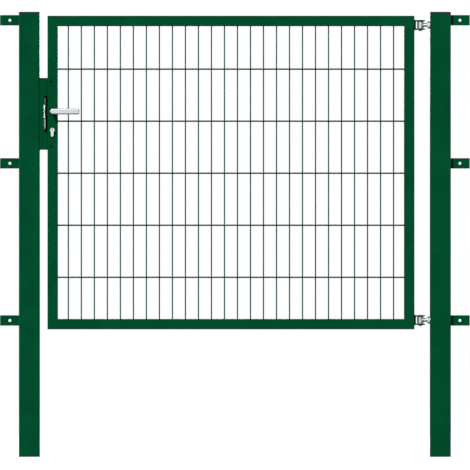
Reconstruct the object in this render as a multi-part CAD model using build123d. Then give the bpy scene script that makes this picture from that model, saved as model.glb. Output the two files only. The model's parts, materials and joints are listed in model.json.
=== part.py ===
"""Single swing gate: two square posts, a welded mesh leaf on two adjustable eye hinges, and a lever lock.

Millimetres. X runs from the lock post to the hinge post, Y from the front of the gate to its back, Z up.
The origin is on the level of the posts' feet, midway between the posts, in the leaf's mid-plane.
"""
import math
import os

from build123d import *

# ---------------------------------------------------------------- overall
PASSAGE = 1500.0          # clear width between the posts
LEAF_BOTTOM = 490.0       # underside of the leaf above the posts' feet
LEAF_HEIGHT = 1205.0
LOCK_GAP = 30.0           # lock post to leaf

# ---------------------------------------------------------------- posts, caps and fence tabs
POST_OVER_LEAF = 9.0      # end of the post tube above the leaf
POST_SIDE = 80.0
POST_WALL = 2.0
POST_CORNER = 5.0
CAP_HEAD = 6.0
CAP_BEVEL = 2.0
CAP_SKIRT = 22.0
CAP_SKIRT_WALL = 2.0
CAP_FIT = 0.3
TAB_REACH = 73.0
TAB_HEIGHT = 40.0
TAB_THICKNESS = 5.0
TAB_SETBACK = 29.0        # front of the post to the front of its tabs
TAB_HOLE_R = 5.5
TAB_HOLE_FROM_POST = 35.0
TAB_TOP_INSET = 26.0      # end of the post tube to the top tab's centre
TAB_STEPS = [550.0, 604.0]

# ---------------------------------------------------------------- leaf
TUBE = 40.0
TUBE_WALL = 2.0
TUBE_CORNER = 3.0
WIRE_D = 5.0
WIRE_PITCH = 50.0
ROD_D = 6.0
ROD_PITCH = 200.0

# ---------------------------------------------------------------- hinges
HINGE_INSET = 35.5        # end of the leaf to the hinge's centre
HINGE_REACH = 22.5        # leaf edge to the hinge axis
AXIS_TO_POST = 37.5
BRACKET_PLATE = 6.0
BRACKET_EAR = 17.5        # hinge axis to the end of the arms
BRACKET_DEPTH = 25.0
BARREL_R = 12.0
BARREL_HEIGHT = 24.0
PIN_R = 5.0
PIN_FIT = 0.05
PIN_HEAD_R = 8.0
PIN_HEAD_H = 5.0
PIN_RIVET_R = 6.0
PIN_RIVET_H = 1.2
THRUST_WASHER = 0.9
THRUST_WASHER_R = 11.0
THRUST_GAP = 0.1
STUD_R = 8.0
STUD_IN_POST = 22.0
STUD_HOLE_R = 8.5
NUT_FLATS = 24.0
LOCK_NUT_H = 8.0
WELD_NUT_H = 13.0
POST_WASHER_R = 15.0
POST_WASHER_H = 2.5
THREAD_FIT = 0.02

# ---------------------------------------------------------------- lock
LEVER_FROM_LEAF_TOP = 368.0
BACKSET = 18.5            # leaf edge to the lever axis
LEVER_TO_CYLINDER = 72.0
FOREND_BELOW_LEVER = 147.0
FOREND_HEIGHT = 276.0
FOREND_WIDTH = 24.0
FOREND_PLATE = 3.0
SLOT_FIT = 0.2
LUG_INSET = 13.7          # end of the forend to its fixing screw
LUG_HEIGHT = 18.0
LUG_DEPTH = 12.0
LUG_LENGTH = 18.0
FIXING_SCREW_R = 2.5
FIXING_SCREW_X = 13.4     # leaf edge to the fixing screws
FIXING_HEAD_R = 4.5
FIXING_HEAD_H = 2.6
SCREW_FIT = 0.05
SCREW_CLEARANCE = 0.4
CASE_ABOVE_LEVER = 69.0
CASE_BELOW_LEVER = 117.0
CASE_TO_TUBE = 1.0        # back edge of the case to the stile's far wall
CASE_THICKNESS = 16.0
CASE_SHEET = 1.2

# latch and follower
LATCH_OUT = 12.0          # how far the latch stands out, and its full travel
LATCH_HEIGHT = 26.0
LATCH_THICKNESS = 12.0
LATCH_BEVEL = 7.0
LATCH_STEP = 2.2          # post that the follower's finger pushes
LATCH_STEP_TOP = 18.0
BOLT_FIT = 0.2
HUB_R = 7.2
HUB_FIT = 0.05
HUB_TO_LATCH = 0.6
FINGER_REACH = 17.5
FINGER_WIDTH = 4.0
FINGER_GAP = 0.5

# deadbolt and cylinder
DEADBOLT_HEIGHT = 28.0
DEADBOLT_LENGTH = 30.0
DEADBOLT_NOTCH = 9.0
DEADBOLT_NOTCH_H = 5.0
CYLINDER_LENGTH = 60.0
CYLINDER_HEAD_R = 8.5
CYLINDER_WAIST = 10.0
CYLINDER_HEIGHT = 33.0
CYLINDER_FIT = 0.4
PLUG_R = 6.5
PLUG_FIT = 0.05
KEYWAY_WIDTH = 3.0
KEYWAY_HEIGHT = 8.5
KEYWAY_DEPTH = 22.0
CAM_SLOT = 10.0
CAM_PLAY = 0.1
CAM_R = 15.0
CAM_HUB_R = 8.0
CAM_NOSE = 7.0
CAM_GAP = 0.8             # cam to deadbolt, and cam to the bridge below it
CYLINDER_SCREW_DROP = 20.0
CYLINDER_SCREW_HEAD_R = 4.6

# levers
LEVER_LENGTH = 111.5
LEVER_HEIGHT = 21.2
LEVER_THICKNESS = 13.0
LEVER_STAND_OFF = 43.0    # leaf face to the back of the grip
LEVER_OVERHANG = 7.5      # grip's end beyond the lever axis
LEVER_EDGE = 3.5
LEVER_END = 4.0
NECK_R = 7.0
NECK_ROOT_R = 8.0
NECK_TAPER = 18.0
RING_R = 13.5
RING_H = 4.0
RING_SPIGOT_R = 10.0
RING_FIT = 0.1
SPINDLE = 8.0
SPINDLE_LENGTH = 104.0
SPINDLE_FIT = 0.05
GRUB_R = 2.0
GRUB_FROM_LEAF = 12.0
SPRING_R = 8.2
SPRING_WIRE_R = 0.8
SPRING_PITCH = 1.9
SPRING_TURNS = 3.5

# keeper on the lock post
KEEPER_SHEET = 3.0
KEEPER_TO_LEAF = 1.0
STOP_FROM_LEAF = 4.0      # leaf's back to the stop flange
STOP_OVERLAP = 12.0
STOP_EDGE_OVERLAP = 2.5   # what is left of the stop beside the ring and the cylinder
STOP_RELIEF = 5.0
BUFFER_PLAY = 0.2
BUFFER_WIDTH = 8.0
BUFFER_END = 8.0
STRIKE_SHEET = 3.0
STRIKE_FROM_LEAF = 8.0
STRIKE_BELOW_LEVER = 69.0
STRIKE_ABOVE_LEVER = 52.0
STRIKE_FOOT = 16.0
STRIKE_HOLE_PLAY = 3.0
STRIKE_SCREW_R = 1.95
STRIKE_SCREW_HEAD_R = 3.8
STRIKE_SCREW_HEAD_H = 2.2
STRIKE_SCREW_LENGTH = 14.0
LIP_R = 8.0
LIP_TURN = 80.0
LIP_START = 8.0           # front of the leaf to where the lip starts to curve
LIP_HEIGHT = 50.0
WINDOW_MARGIN = 9.0       # flange cut-out beyond the strike plate's ends
WINDOW_TO_STRIKE = 0.5
WINDOW_TO_LIP = 4.5
DUST_BOX_DEPTH = 14.0
DUST_BOX_SHEET = 1.5
DUST_BOX_WIDTH = 20.0
DUST_BOX_PLAY = 1.0

# ---------------------------------------------------------------- places worked out from the sizes
FRONT = -TUBE / 2
BACK = TUBE / 2
LOCK_POST_FACE = -PASSAGE / 2
HINGE_POST_FACE = PASSAGE / 2
LEAF_LEFT = LOCK_POST_FACE + LOCK_GAP
HINGE_X = HINGE_POST_FACE - AXIS_TO_POST
LEAF_RIGHT = HINGE_X - HINGE_REACH
LEAF_TOP = LEAF_BOTTOM + LEAF_HEIGHT
POST_LENGTH = LEAF_TOP + POST_OVER_LEAF
HINGE_ZS = {"upper": LEAF_TOP - HINGE_INSET, "lower": LEAF_BOTTOM + HINGE_INSET}
BRACKET_HALF = BARREL_HEIGHT / 2 + THRUST_GAP + THRUST_WASHER + BRACKET_PLATE

LEVER_X = LEAF_LEFT + BACKSET
LEVER_Z = LEAF_TOP - LEVER_FROM_LEAF_TOP
CYLINDER_Z = LEVER_Z - LEVER_TO_CYLINDER
FOREND_BOTTOM = LEVER_Z - FOREND_BELOW_LEVER
CASE_FRONT_X = LEAF_LEFT + FOREND_PLATE
CASE_BACK_X = LEAF_LEFT + TUBE - TUBE_WALL - CASE_TO_TUBE
CASE_BOTTOM = LEVER_Z - CASE_BELOW_LEVER
CASE_TOP = LEVER_Z + CASE_ABOVE_LEVER
DEADBOLT_BOTTOM = CYLINDER_Z + CAM_R + CAM_GAP
DEADBOLT_TOP = DEADBOLT_BOTTOM + DEADBOLT_HEIGHT
FIXING_ZS = [FOREND_BOTTOM + LUG_INSET, FOREND_BOTTOM + FOREND_HEIGHT - LUG_INSET]
CYLINDER_SCREW_Z = CYLINDER_Z - CYLINDER_SCREW_DROP
KEEPER_FACE_X = LOCK_POST_FACE + KEEPER_SHEET
STRIKE_X = LEAF_LEFT - STRIKE_FROM_LEAF
STRIKE_BOTTOM = LEVER_Z - STRIKE_BELOW_LEVER
STRIKE_TOP = LEVER_Z + STRIKE_ABOVE_LEVER
STRIKE_SCREW_ZS = [STRIKE_BOTTOM - STRIKE_FOOT / 2, STRIKE_TOP + STRIKE_FOOT / 2]
TAB_ZS = {
    "top": POST_LENGTH - TAB_TOP_INSET,
    "middle": POST_LENGTH - TAB_TOP_INSET - TAB_STEPS[0],
    "bottom": POST_LENGTH - TAB_TOP_INSET - sum(TAB_STEPS),
}


# ---------------------------------------------------------------- shared shapes
def block(x0, x1, y0, y1, z0, z1):
    """Box between two corners."""
    return Pos((x0 + x1) / 2, (y0 + y1) / 2, (z0 + z1) / 2) * Box(x1 - x0, y1 - y0, z1 - z0)


def rod_x(radius, x0, x1, y, z):
    """Round bar along X."""
    return Pos((x0 + x1) / 2, y, z) * Rot(0, 90, 0) * Cylinder(radius, x1 - x0)


def rod_y(radius, y0, y1, x, z):
    """Round bar along Y."""
    return Pos(x, (y0 + y1) / 2, z) * Rot(90, 0, 0) * Cylinder(radius, y1 - y0)


def rod_z(radius, z0, z1, x, y):
    """Round bar along Z."""
    return Pos(x, y, (z0 + z1) / 2) * Cylinder(radius, z1 - z0)


def prism_y(points, y0, y1):
    """Outline of (x, z) points, extruded along Y."""
    face = make_face(Polyline([(x, y0, z) for x, z in points], close=True))
    return extrude(face, y1 - y0, dir=(0, 1, 0))


def group(*shapes):
    """Separate solids kept together as one piece."""
    return Compound([solid for shape in shapes for solid in shape.solids()])


def square_tube(side, wall, corner, length):
    """Hollow square section standing on z = 0, centred on the origin."""
    section = RectangleRounded(side, side, corner) - RectangleRounded(side - 2 * wall, side - 2 * wall, corner - wall)
    return extrude(section, length)


def hex_nut(flats, height, bore_r):
    """Hexagon nut along X from x = 0, with two corners up and down."""
    corner_r = flats / math.sqrt(3)
    hexagon = extrude(RegularPolygon(corner_r, 6) - Circle(bore_r), height)
    bevel = Cone(corner_r + 1, corner_r - 1.2, height, align=(Align.CENTER, Align.CENTER, Align.MIN))
    return Rot(0, 90, 0) * (hexagon & bevel)


# ---------------------------------------------------------------- posts
def post_at(inner_face, outward):
    """Post tube whose inner side stands at inner_face; outward is the way to its other side."""
    centre_x = inner_face + outward * POST_SIDE / 2
    return Pos(centre_x, FRONT + POST_SIDE / 2, 0) * square_tube(POST_SIDE, POST_WALL, POST_CORNER, POST_LENGTH)


def lock_post():
    """Post with a pilot hole for each of the strike plate's self-tapping screws."""
    post = post_at(LOCK_POST_FACE, -1)
    for z in STRIKE_SCREW_ZS:
        post -= rod_x(STRIKE_SCREW_R + THREAD_FIT, LOCK_POST_FACE - 2 * POST_WALL, LOCK_POST_FACE + 1, 0, z)
    return post


def hinge_post():
    """Post with a clearance hole for each hinge stud."""
    post = post_at(HINGE_POST_FACE, 1)
    for z in HINGE_ZS.values():
        post -= rod_x(STUD_HOLE_R, HINGE_POST_FACE - 1, HINGE_POST_FACE + 2 * POST_WALL, 0, z)
    return post


def post_cap(inner_face, outward):
    """Push-in cap: a bevelled head on the tube's end and a hollow skirt inside it."""
    skirt_side = POST_SIDE - 2 * POST_WALL - 2 * CAP_FIT
    head = extrude(RectangleRounded(POST_SIDE, POST_SIDE, POST_CORNER), CAP_HEAD)
    head = chamfer(head.faces().sort_by(Axis.Z)[-1].edges(), CAP_BEVEL)
    skirt = Pos(0, 0, -CAP_SKIRT) * square_tube(skirt_side, CAP_SKIRT_WALL, CAP_SKIRT_WALL + 0.5, CAP_SKIRT)
    cap = head + skirt
    return Pos(inner_face + outward * POST_SIDE / 2, FRONT + POST_SIDE / 2, POST_LENGTH) * cap


def fence_tab(outer_face, outward, z):
    """Drilled flat bar welded to the post's outer side."""
    tip = outer_face + outward * TAB_REACH
    y0 = FRONT + TAB_SETBACK
    y1 = y0 + TAB_THICKNESS
    tab = block(min(outer_face, tip), max(outer_face, tip), y0, y1, z - TAB_HEIGHT / 2, z + TAB_HEIGHT / 2)
    corners = tab.edges().filter_by(Axis.Y).group_by(Axis.X)[-1 if outward > 0 else 0]
    tab = fillet(corners, 2.0)
    return tab - rod_y(TAB_HOLE_R, y0 - 1, y1 + 1, outer_face + outward * TAB_HOLE_FROM_POST, z)


# ---------------------------------------------------------------- leaf frame and mesh
def stile_at(outer_x, inward):
    """Upright of the leaf with both ends mitred; inward points to the middle of the leaf."""
    inner_x = outer_x + inward * TUBE
    tube = square_tube(TUBE, TUBE_WALL, TUBE_CORNER, LEAF_HEIGHT)
    tube = Pos((outer_x + inner_x) / 2, 0, LEAF_BOTTOM) * tube
    mitred = [
        (outer_x, LEAF_BOTTOM),
        (inner_x, LEAF_BOTTOM + TUBE),
        (inner_x, LEAF_TOP - TUBE),
        (outer_x, LEAF_TOP),
    ]
    return tube & prism_y(mitred, FRONT - 1, BACK + 1)


def rail_at(outer_z, inward):
    """Crossbar of the leaf with both ends mitred; inward points to the middle of the leaf."""
    inner_z = outer_z + inward * TUBE
    tube = Rot(0, 90, 0) * square_tube(TUBE, TUBE_WALL, TUBE_CORNER, LEAF_RIGHT - LEAF_LEFT)
    tube = Pos(LEAF_LEFT, 0, (outer_z + inner_z) / 2) * tube
    mitred = [
        (LEAF_LEFT, outer_z),
        (LEAF_LEFT + TUBE, inner_z),
        (LEAF_RIGHT - TUBE, inner_z),
        (LEAF_RIGHT, outer_z),
    ]
    return tube & prism_y(mitred, FRONT - 1, BACK + 1)


def cylinder_profile(y0, y1, gap):
    """Profile of the lock cylinder grown by gap: a round head on a round-ended leg."""
    head = rod_y(CYLINDER_HEAD_R + gap, y0, y1, LEVER_X, CYLINDER_Z)
    foot_z = CYLINDER_Z + CYLINDER_HEAD_R - CYLINDER_HEIGHT + CYLINDER_WAIST / 2
    half = CYLINDER_WAIST / 2 + gap
    leg = block(LEVER_X - half, LEVER_X + half, y0, y1, foot_z, CYLINDER_Z)
    return head + leg + rod_y(half, y0, y1, LEVER_X, foot_z)


def lock_stile():
    """Lock side upright, cut for the forend, the lever rings, the cylinder and the fixing screws."""
    half = FOREND_WIDTH / 2 + SLOT_FIT
    low = FOREND_BOTTOM - SLOT_FIT
    high = FOREND_BOTTOM + FOREND_HEIGHT + SLOT_FIT
    stile = stile_at(LEAF_LEFT, 1)
    stile -= block(LEAF_LEFT - 1, LEAF_LEFT + 2 * TUBE_WALL, -half, half, low, high)
    stile -= rod_y(RING_SPIGOT_R + RING_FIT, FRONT - 1, BACK + 1, LEVER_X, LEVER_Z)
    stile -= cylinder_profile(FRONT - 1, BACK + 1, CYLINDER_FIT)
    for z in FIXING_ZS:
        hole_r = FIXING_SCREW_R + SCREW_CLEARANCE
        stile -= rod_y(hole_r, FRONT - 1, FRONT + 2 * TUBE_WALL, LEAF_LEFT + FIXING_SCREW_X, z)
    return stile


def mesh_wires():
    """Upright wires in the leaf's mid-plane, centred between the stiles."""
    span = LEAF_RIGHT - LEAF_LEFT - 2 * TUBE
    count = int(span / WIRE_PITCH)
    first = (LEAF_LEFT + LEAF_RIGHT) / 2 - (count - 1) * WIRE_PITCH / 2
    low = LEAF_BOTTOM + TUBE
    high = LEAF_TOP - TUBE
    return group(*[rod_z(WIRE_D / 2, low, high, first + i * WIRE_PITCH, 0) for i in range(count)])


def mesh_rod_pair(number):
    """One row of the mesh: a rod in front of the wires and one behind them."""
    z = LEAF_BOTTOM + number * ROD_PITCH
    offset = (WIRE_D + ROD_D) / 2
    return group(*[rod_x(ROD_D / 2, LEAF_LEFT + TUBE, LEAF_RIGHT - TUBE, y, z) for y in (-offset, offset)])


# ---------------------------------------------------------------- hinges
def hinge_bracket(z):
    """U-shaped bracket welded to the leaf: two arms carry the pin above and below the barrel."""
    half = BRACKET_HALF
    deep = BRACKET_DEPTH / 2
    bracket = block(LEAF_RIGHT, HINGE_X + BRACKET_EAR, -deep, deep, z - half, z + half)
    tips = bracket.edges().filter_by(Axis.Z).group_by(Axis.X)[-1]
    bracket = fillet(tips, BRACKET_DEPTH * 0.3)
    inner = half - BRACKET_PLATE
    far = HINGE_X + BRACKET_EAR + 1
    bracket -= block(LEAF_RIGHT + BRACKET_PLATE, far, -deep - 1, deep + 1, z - inner, z + inner)
    return bracket - rod_z(PIN_R + PIN_FIT, z - half - 1, z + half + 1, HINGE_X, 0)


def hinge_pin(z):
    """Domed pin pushed up through the bracket, peened over on top."""
    dome_r = (PIN_HEAD_R ** 2 + PIN_HEAD_H ** 2) / (2 * PIN_HEAD_H)
    under = z - BRACKET_HALF
    dome = Pos(HINGE_X, 0, under - PIN_HEAD_H + dome_r) * Sphere(dome_r)
    dome &= rod_z(PIN_HEAD_R, under - PIN_HEAD_H, under, HINGE_X, 0)
    shank = rod_z(PIN_R, under, z + BRACKET_HALF, HINGE_X, 0)
    rivet = rod_z(PIN_RIVET_R, z + BRACKET_HALF, z + BRACKET_HALF + PIN_RIVET_H, HINGE_X, 0)
    return dome + shank + rivet


def thrust_washers(z):
    """Nylon washers above and below the barrel."""
    face = BARREL_HEIGHT / 2 + THRUST_GAP
    bore = rod_z(PIN_R + PIN_FIT, z - BRACKET_HALF, z + BRACKET_HALF, HINGE_X, 0)
    upper = rod_z(THRUST_WASHER_R, z + face, z + face + THRUST_WASHER, HINGE_X, 0)
    lower = rod_z(THRUST_WASHER_R, z - face - THRUST_WASHER, z - face, HINGE_X, 0)
    return group(upper - bore, lower - bore)


def eye_bolt(z):
    """Barrel welded to a threaded stud that passes into the post."""
    barrel = rod_z(BARREL_R, z - BARREL_HEIGHT / 2, z + BARREL_HEIGHT / 2, HINGE_X, 0)
    barrel = chamfer(barrel.edges().filter_by(GeomType.CIRCLE), 0.8)
    stud = rod_x(STUD_R, HINGE_X, HINGE_POST_FACE + STUD_IN_POST, 0, z)
    stud = chamfer(stud.edges().filter_by(GeomType.CIRCLE).sort_by(Axis.X)[-1], 1.2)
    return barrel + stud - rod_z(PIN_R + PIN_FIT, z - BARREL_HEIGHT, z + BARREL_HEIGHT, HINGE_X, 0)


def lock_nut(z):
    """Thin nut that locks the stud against the washer."""
    nut = hex_nut(NUT_FLATS, LOCK_NUT_H, STUD_R + THREAD_FIT)
    return Pos(HINGE_POST_FACE - POST_WASHER_H, 0, z) * Rot(0, 0, 180) * nut


def post_washer(z):
    """Flat washer on the post's face."""
    x0 = HINGE_POST_FACE - POST_WASHER_H
    return rod_x(POST_WASHER_R, x0, HINGE_POST_FACE, 0, z) - rod_x(STUD_HOLE_R, x0 - 1, HINGE_POST_FACE + 1, 0, z)


def weld_nut(z):
    """Nut welded inside the post, which the stud screws into."""
    nut = hex_nut(NUT_FLATS, WELD_NUT_H, STUD_R + THREAD_FIT)
    return Pos(HINGE_POST_FACE + POST_WALL, 0, z) * nut


# ---------------------------------------------------------------- lock in the leaf
def forend():
    """Edge plate of the lock with its bolt openings and two tapped fixing lugs."""
    half = FOREND_WIDTH / 2
    top = FOREND_BOTTOM + FOREND_HEIGHT
    plate = block(LEAF_LEFT, CASE_FRONT_X, -half, half, FOREND_BOTTOM, top)
    for z in FIXING_ZS:
        low = z - LUG_HEIGHT / 2
        plate += block(CASE_FRONT_X, CASE_FRONT_X + LUG_LENGTH, -half, LUG_DEPTH - half, low, low + LUG_HEIGHT)
        plate -= rod_y(FIXING_SCREW_R + SCREW_FIT, -half - 1, half, LEAF_LEFT + FIXING_SCREW_X, z)
    thick = LATCH_THICKNESS / 2 + BOLT_FIT
    tall = LATCH_HEIGHT / 2 + BOLT_FIT
    left = LEAF_LEFT - 1
    plate -= block(left, CASE_FRONT_X + 1, -thick, thick, LEVER_Z - tall, LEVER_Z + tall)
    plate -= block(left, CASE_FRONT_X + 1, -thick, thick, DEADBOLT_BOTTOM - BOLT_FIT, DEADBOLT_TOP + BOLT_FIT)
    plate -= rod_x(FIXING_SCREW_R + SCREW_FIT, left, CASE_FRONT_X + 1, 0, CYLINDER_SCREW_Z)
    return plate - cylinder_screw_head(SCREW_FIT)


def case_openings(y0, y1):
    """Holes through the case for the follower and the lock cylinder."""
    return rod_y(HUB_R + HUB_FIT, y0, y1, LEVER_X, LEVER_Z) + cylinder_profile(y0, y1, CYLINDER_FIT)


def lock_case():
    """Folded tray of the lock, open to the forend and to its cover."""
    half = CASE_THICKNESS / 2
    tray = block(CASE_FRONT_X, CASE_BACK_X, -half + CASE_SHEET, half, CASE_BOTTOM, CASE_TOP)
    hollow = block(
        CASE_FRONT_X - 1,
        CASE_BACK_X - CASE_SHEET,
        -half,
        half - CASE_SHEET,
        CASE_BOTTOM + CASE_SHEET,
        CASE_TOP - CASE_SHEET,
    )
    return tray - hollow - case_openings(-half, half + 1)


def case_cover():
    """Flat cover of the lock case."""
    half = CASE_THICKNESS / 2
    cover = block(CASE_FRONT_X, CASE_BACK_X, -half, -half + CASE_SHEET, CASE_BOTTOM, CASE_TOP)
    return cover - case_openings(-half - 1, half)


def fixing_screws():
    """Two button screws through the stile's front into the forend's lugs."""
    screws = []
    for z in FIXING_ZS:
        x = LEAF_LEFT + FIXING_SCREW_X
        head = rod_y(FIXING_HEAD_R, FRONT - FIXING_HEAD_H, FRONT, x, z)
        head = fillet(head.edges().filter_by(GeomType.CIRCLE).sort_by(Axis.Y)[0], FIXING_HEAD_H * 0.7)
        socket = Pos(x, FRONT - FIXING_HEAD_H / 2, z) * Rot(90, 0, 0) * extrude(RegularPolygon(1.7, 6), FIXING_HEAD_H)
        screws.append(head - socket + rod_y(FIXING_SCREW_R, FRONT, LUG_DEPTH - FOREND_WIDTH / 2, x, z))
    return group(*screws)


def latch_bolt():
    """Bevelled latch with a fork round the follower and a step for the follower's finger."""
    thick = LATCH_THICKNESS / 2
    tall = LATCH_HEIGHT / 2
    tip = LEAF_LEFT - LATCH_OUT
    step_x = LEVER_X + FINGER_WIDTH / 2 + FINGER_GAP
    inner = HUB_R + HUB_TO_LATCH
    fork_x = LEVER_X - inner - LATCH_OUT
    bolt = block(tip, step_x + LATCH_STEP, -thick, thick, LEVER_Z - tall, LEVER_Z + tall)
    bolt += block(step_x, step_x + LATCH_STEP, -thick, thick, LEVER_Z + inner, LEVER_Z + LATCH_STEP_TOP)
    bolt -= block(fork_x, step_x + LATCH_STEP + 1, -thick - 1, thick + 1, LEVER_Z - inner, LEVER_Z + inner)
    finger_way = LEVER_X - FINGER_WIDTH / 2 - LATCH_OUT - FINGER_GAP
    bolt -= block(finger_way, step_x, -thick - 1, 0, LEVER_Z + inner - 1, LEVER_Z + LATCH_STEP_TOP + 1)
    bolt -= block(LEVER_X, step_x + LATCH_STEP + 1, -thick - 1, thick + 1, LEVER_Z - tall - 1, LEVER_Z - inner)
    bevel = Polyline(
        (tip - 1, thick + 1, LEVER_Z),
        (tip + LATCH_BEVEL + 1, thick + 1, LEVER_Z),
        (tip - 1, thick - LATCH_BEVEL - 1, LEVER_Z),
        close=True,
    )
    wedge = extrude(make_face(bevel), LATCH_HEIGHT, dir=(0, 0, 1), both=True)
    return bolt - wedge


def follower():
    """Hub with a square hole for the spindle and a finger that draws the latch."""
    half = CASE_THICKNESS / 2
    hub = rod_y(HUB_R, -half, half, LEVER_X, LEVER_Z)
    wide = FINGER_WIDTH / 2
    room = LATCH_THICKNESS / 2
    finger = block(LEVER_X - wide, LEVER_X + wide, -room, -1, LEVER_Z, LEVER_Z + FINGER_REACH)
    square = SPINDLE / 2 + SPINDLE_FIT
    hole = block(LEVER_X - square, LEVER_X + square, -half - 1, half + 1, LEVER_Z - square, LEVER_Z + square)
    return hub + finger - hole


def return_spring():
    """Torsion spring round the spindle, behind the case."""
    height = SPRING_PITCH * SPRING_TURNS
    path = Helix(SPRING_PITCH, height, SPRING_R)
    section = Plane(origin=path @ 0, z_dir=path % 0) * Circle(SPRING_WIRE_R)
    coil = sweep(section, path, is_frenet=True)
    middle = (CASE_THICKNESS / 2 + BACK - TUBE_WALL) / 2
    return Pos(LEVER_X, middle + height / 2, LEVER_Z) * Rot(90, 0, 0) * coil


def deadbolt():
    """Square-ended bolt, flush with the leaf when unlocked."""
    thick = LATCH_THICKNESS / 2
    bolt = block(LEAF_LEFT, LEAF_LEFT + DEADBOLT_LENGTH, -thick, thick, DEADBOLT_BOTTOM, DEADBOLT_TOP)
    notch_x = LEVER_X - DEADBOLT_NOTCH / 2
    notch_top = DEADBOLT_BOTTOM + DEADBOLT_NOTCH_H
    return bolt - block(notch_x, notch_x + DEADBOLT_NOTCH, -thick - 1, thick + 1, DEADBOLT_BOTTOM - 1, notch_top)


def cylinder_body():
    """Profile cylinder with a bore for the plug, a slot for the cam and a tapped fixing hole."""
    half = CYLINDER_LENGTH / 2
    body = cylinder_profile(-half, half, 0)
    body -= rod_y(PLUG_R + PLUG_FIT, -half - 1, half + 1, LEVER_X, CYLINDER_Z)
    wide = CYLINDER_HEAD_R + 1
    bridge = CYLINDER_Z - CAM_R - CAM_GAP
    slot = CAM_SLOT / 2
    body -= block(LEVER_X - wide, LEVER_X + wide, -slot, slot, bridge, CYLINDER_Z + wide)
    return body - rod_x(FIXING_SCREW_R + SCREW_FIT, LEVER_X - wide, LEVER_X + 2, 0, CYLINDER_SCREW_Z)


def cylinder_plugs():
    """Front and rear plug, each with a keyway in its outer end."""
    half = CYLINDER_LENGTH / 2
    inner = CAM_SLOT / 2 - CAM_PLAY
    plugs = []
    for side in (-1, 1):
        near, far = sorted((side * inner, side * half))
        plug = rod_y(PLUG_R, near, far, LEVER_X, CYLINDER_Z)
        cut_near, cut_far = sorted((side * (half - KEYWAY_DEPTH), side * (half + 1)))
        wide = KEYWAY_WIDTH / 2
        top = CYLINDER_Z + PLUG_R - 1
        plug -= block(LEVER_X - wide, LEVER_X + wide, cut_near, cut_far, top - KEYWAY_HEIGHT, top)
        plugs.append(plug)
    return group(*plugs)


def cylinder_cam():
    """Cam between the plugs; its nose hangs down when the key is out."""
    wide = CAM_SLOT / 2 - CAM_PLAY
    hub = rod_y(CAM_HUB_R, -wide, wide, LEVER_X, CYLINDER_Z)
    half = CAM_NOSE / 2
    nose = block(LEVER_X - half, LEVER_X + half, -wide, wide, CYLINDER_Z - CAM_R, CYLINDER_Z)
    reach = rod_y(CAM_R, -wide, wide, LEVER_X, CYLINDER_Z)
    return hub + (nose & reach)


def cylinder_screw_head(gap):
    """Countersunk head in the forend, grown by gap."""
    radius = CYLINDER_SCREW_HEAD_R + gap
    depth = radius - FIXING_SCREW_R
    cone = Rot(0, 90, 0) * Cone(radius, FIXING_SCREW_R, depth, align=(Align.CENTER, Align.CENTER, Align.MIN))
    return Pos(LEAF_LEFT, 0, CYLINDER_SCREW_Z) * cone


def cylinder_screw():
    """Countersunk screw from the leaf's edge into the lock cylinder."""
    screw = cylinder_screw_head(0) + rod_x(FIXING_SCREW_R, LEAF_LEFT + 1, LEVER_X, 0, CYLINDER_SCREW_Z)
    slot = CYLINDER_SCREW_HEAD_R
    return screw - block(LEAF_LEFT - 1, LEAF_LEFT + 0.9, -slot, slot, CYLINDER_SCREW_Z - 0.5, CYLINDER_SCREW_Z + 0.5)


# ---------------------------------------------------------------- levers
def lever_front():
    """Cast handle: a flat grip with one round end on a round neck that takes the spindle."""
    grip_back = FRONT - LEVER_STAND_OFF
    grip_front = grip_back - LEVER_THICKNESS
    end_r = LEVER_HEIGHT / 2
    left = LEVER_X - LEVER_OVERHANG
    right = left + LEVER_LENGTH
    grip = rod_y(end_r, grip_front, grip_back, left + end_r, LEVER_Z)
    bar = block(left + end_r, right, grip_front, grip_back, LEVER_Z - end_r, LEVER_Z + end_r)
    grip += fillet(bar.edges().filter_by(Axis.Y).group_by(Axis.X)[-1], LEVER_END)
    rims = grip.faces().filter_by(Axis.Y).edges()
    grip = fillet(rims, LEVER_EDGE)
    inner_end = FRONT + RING_FIT + 1
    neck = rod_y(NECK_R, grip_back - 2, inner_end, LEVER_X, LEVER_Z)
    taper = Rot(90, 0, 0) * Cone(NECK_R, NECK_ROOT_R, NECK_TAPER, align=(Align.CENTER, Align.CENTER, Align.MIN))
    neck += Pos(LEVER_X, grip_back - 2 + NECK_TAPER, LEVER_Z) * taper
    square = SPINDLE / 2 + SPINDLE_FIT
    blind_end = -SPINDLE_LENGTH / 2 - 1
    socket = block(LEVER_X - square, LEVER_X + square, blind_end, 0, LEVER_Z - square, LEVER_Z + square)
    grub_y = FRONT - GRUB_FROM_LEAF
    return grip + neck - socket - rod_z(GRUB_R + SCREW_FIT, LEVER_Z - NECK_R - 2, LEVER_Z, LEVER_X, grub_y)


def lever_ring_front():
    """Guide ring pressed into the stile; the lever's neck turns in it."""
    flange = rod_y(RING_R, FRONT - RING_H, FRONT, LEVER_X, LEVER_Z)
    flange = fillet(flange.edges().filter_by(GeomType.CIRCLE).sort_by(Axis.Y)[0], 1.2)
    ring = flange + rod_y(RING_SPIGOT_R, FRONT, FRONT + TUBE_WALL, LEVER_X, LEVER_Z)
    return ring - rod_y(NECK_R + PIN_FIT, FRONT - RING_H - 1, FRONT + TUBE_WALL + 1, LEVER_X, LEVER_Z)


def spindle():
    """Square bar from lever to lever."""
    half = SPINDLE / 2
    reach = SPINDLE_LENGTH / 2
    return block(LEVER_X - half, LEVER_X + half, -reach, reach, LEVER_Z - half, LEVER_Z + half)


def lever_grub_screws():
    """One grub screw under each neck, down on the spindle."""
    y = FRONT - GRUB_FROM_LEAF
    low = LEVER_Z - NECK_R + 0.3
    high = LEVER_Z - SPINDLE / 2
    return group(*[rod_z(GRUB_R, low, high, LEVER_X, side) for side in (y, -y)])


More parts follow.
